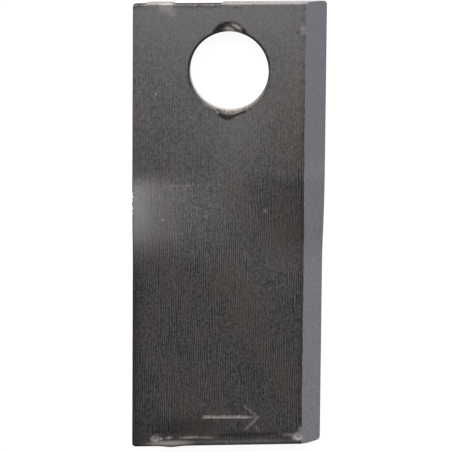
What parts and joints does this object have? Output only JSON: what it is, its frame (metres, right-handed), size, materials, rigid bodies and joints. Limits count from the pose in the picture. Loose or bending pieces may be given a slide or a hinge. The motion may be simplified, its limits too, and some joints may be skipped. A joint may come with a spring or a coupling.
{
  "type": "rotary mower blade",
  "caption": "Flat steel knife for a disc mower, bored at one end, twisted along its length and ground to a cutting edge on both long sides.",
  "frame": {"origin": "middle of the bore at half the thickness of the bored end", "axes": "+Z along the bore, out of the face with the visible bevel; +Y along the length to the bored end; +X to the edge whose bevel faces +Z"},
  "size_m": [0.049, 0.115, 0.0114],
  "materials": {
    "blade_steel": "dark oxide scale from hardening, with bare ground bevels"
  },
  "bodies": {
    "root": {"blade": "blade_steel"}
  },
  "joints": []
}
